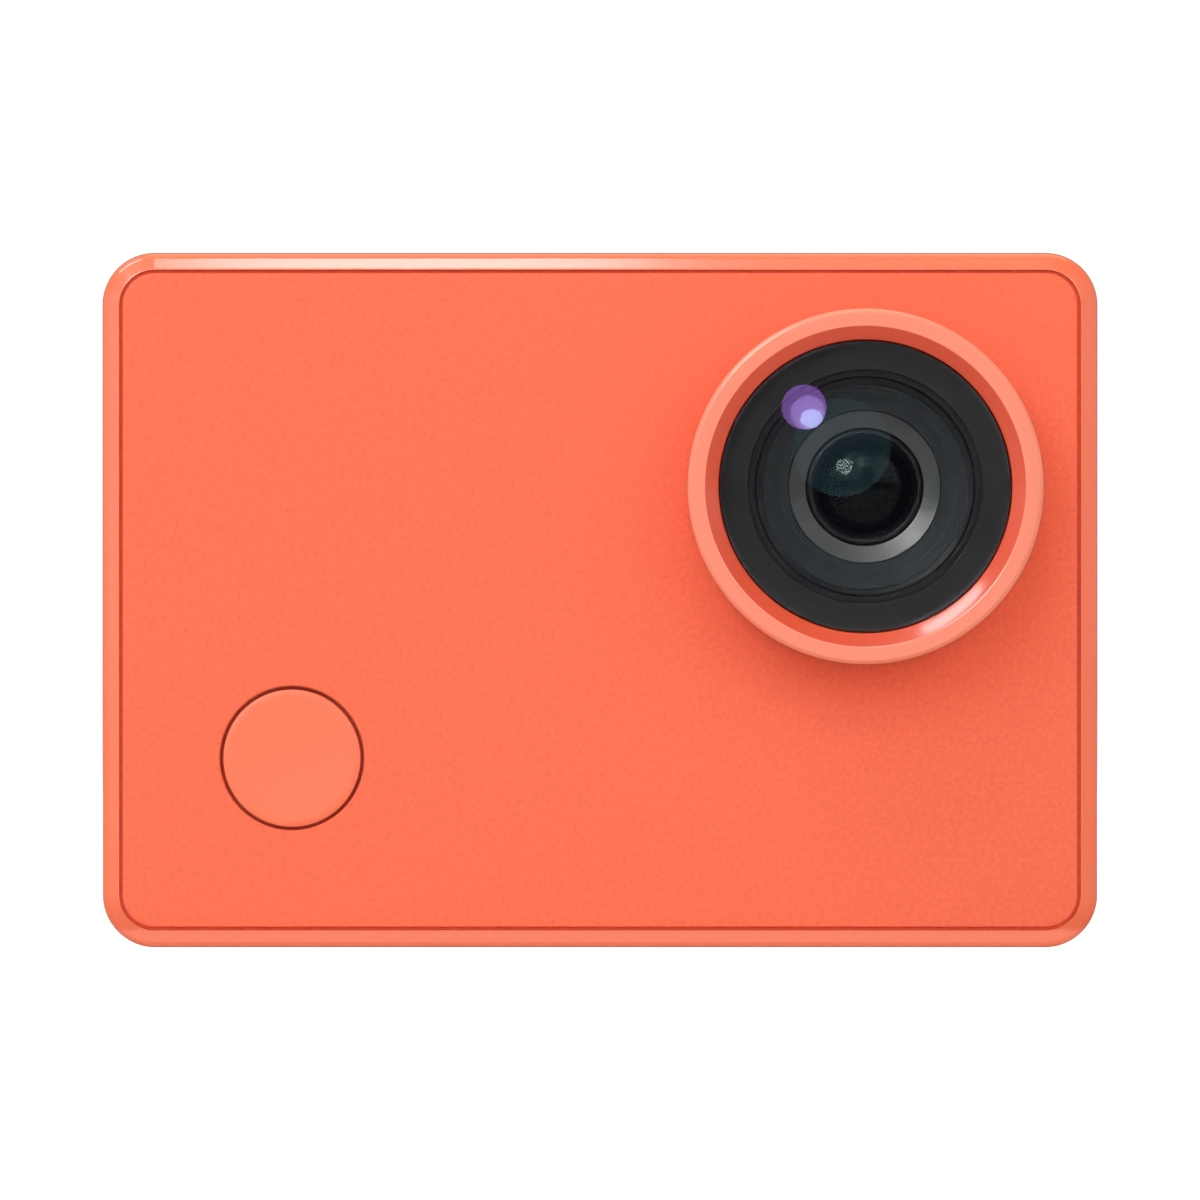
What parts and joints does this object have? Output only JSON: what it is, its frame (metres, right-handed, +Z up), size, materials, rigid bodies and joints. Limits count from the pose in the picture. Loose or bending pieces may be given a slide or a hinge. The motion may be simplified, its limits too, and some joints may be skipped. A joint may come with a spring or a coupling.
{
  "type": "action camera",
  "caption": "Compact orange action camera with a raised lens ring, round power button, shutter button, side keys, rear screen, battery door and tripod thread.",
  "frame": {"origin": "under the middle of the bounding box, on the flat underside the camera stands on", "axes": "+Z up; the lens looks along -Y; +X to the right as seen from the front"},
  "size_m": [0.0592, 0.0286, 0.0413],
  "materials": {
    "case_shell": "satin moulded plastic, orange",
    "front_skin": "fine soft-touch grain, orange",
    "button_cap": "smooth satin, slightly lighter orange",
    "ring_coat": "satin coat, orange",
    "window_glass": "polished, anti-reflection coated",
    "lens_glass": "polished, green-tinted anti-reflection coating",
    "filter_glass": "polished, cyan infrared filter",
    "screen_glass": "polished, black printed border",
    "screen_panel": "dark, unlit",
    "mask_black": "flat matte black print",
    "barrel_black": "black anodised look, fine rings",
    "inner_black": "black moulded plastic",
    "sensor_face": "dark glassy chip face",
    "seal_rubber": "dull black",
    "board_green": "solder mask, green",
    "flex_amber": "polyimide film, amber",
    "chip_black": "moulded chip, dull black",
    "plain_steel": "zinc-plated steel",
    "shield_steel": "stamped bright steel",
    "spreader_aluminium": "rolled sheet",
    "battery_wrap": "printed film over an aluminium can, dark grey",
    "contact_gold": "gold-plated springs",
    "insert_brass": "turned brass",
    "card_black": "satin black",
    "light_guide": "translucent white"
  },
  "bodies": {
    "case": {"housing_frame": "case_shell", "front_panel": "front_skin", "rear_cover": "case_shell", "chassis": "inner_black", "lens_ring": "ring_coat", "lens_window": "window_glass", "window_mask": "mask_black", "window_seal": "seal_rubber", "lens_barrel": "barrel_black", "lens_retaining_ring": "barrel_black", "front_element": "lens_glass", "middle_element": "lens_glass", "aperture_stop": "barrel_black", "rear_element": "lens_glass", "lens_mount": "inner_black", "ir_filter": "filter_glass", "image_sensor": "sensor_face", "sensor_board": "board_green", "sensor_screw_1": "plain_steel", "sensor_screw_2": "plain_steel", "sensor_flex": "flex_amber", "power_switch": "shield_steel", "power_board": "board_green", "shutter_switch": "shield_steel", "shutter_board": "board_green", "up_switch": "shield_steel", "down_switch": "shield_steel", "key_board": "board_green", "main_board": "board_green", "processor": "chip_black", "heat_spreader": "spreader_aluminium", "wireless_module": "shield_steel", "usb_port": "shield_steel", "hdmi_port": "shield_steel", "card_slot": "shield_steel", "speaker": "inner_black", "microphone": "shield_steel", "status_light": "light_guide", "battery": "battery_wrap", "battery_contacts": "contact_gold", "chassis_screw_1": "plain_steel", "chassis_screw_2": "plain_steel", "chassis_screw_3": "plain_steel", "chassis_screw_4": "plain_steel", "board_screw_1": "plain_steel", "board_screw_2": "plain_steel", "board_screw_3": "plain_steel", "display_glass": "screen_glass", "display_panel": "screen_panel", "display_flex": "flex_amber", "door_pin": "plain_steel", "tripod_insert": "insert_brass"},
    "power": {"power_button": "button_cap"},
    "shutter": {"shutter_button": "button_cap"},
    "up": {"up_key": "button_cap"},
    "down": {"down_key": "button_cap"},
    "card": {"memory_card": "card_black"},
    "door": {"battery_door": "case_shell", "door_pad": "seal_rubber"},
    "latch": {"door_latch": "inner_black"}
  },
  "joints": [
    {"name": "power_press", "type": "slide", "parent": "case", "child": "power", "axis": [0, 1, 0], "range_m": [0, 0.0004], "stiffness_N_per_m": 1500, "springref_m": -0.0003},
    {"name": "shutter_press", "type": "slide", "parent": "case", "child": "shutter", "axis": [0, 0, -1], "range_m": [0, 0.0004], "stiffness_N_per_m": 1500, "springref_m": -0.0003},
    {"name": "up_press", "type": "slide", "parent": "case", "child": "up", "axis": [1, 0, 0], "range_m": [0, 0.0004], "stiffness_N_per_m": 1500, "springref_m": -0.0003},
    {"name": "down_press", "type": "slide", "parent": "case", "child": "down", "axis": [1, 0, 0], "range_m": [0, 0.0004], "stiffness_N_per_m": 1500, "springref_m": -0.0003},
    {"name": "card_slide", "type": "slide", "parent": "case", "child": "card", "axis": [1, 0, 0], "range_m": [-0.0008, 0.012]},
    {"name": "door_hinge", "type": "hinge", "parent": "case", "child": "door", "pos_m": [-0.0256, 0.0019, 0.00135], "axis": [0, 1, 0], "range_deg": [0, 95]},
    {"name": "latch_slide", "type": "slide", "parent": "door", "child": "latch", "axis": [-1, 0, 0], "range_m": [0, 0.0015]}
  ]
}
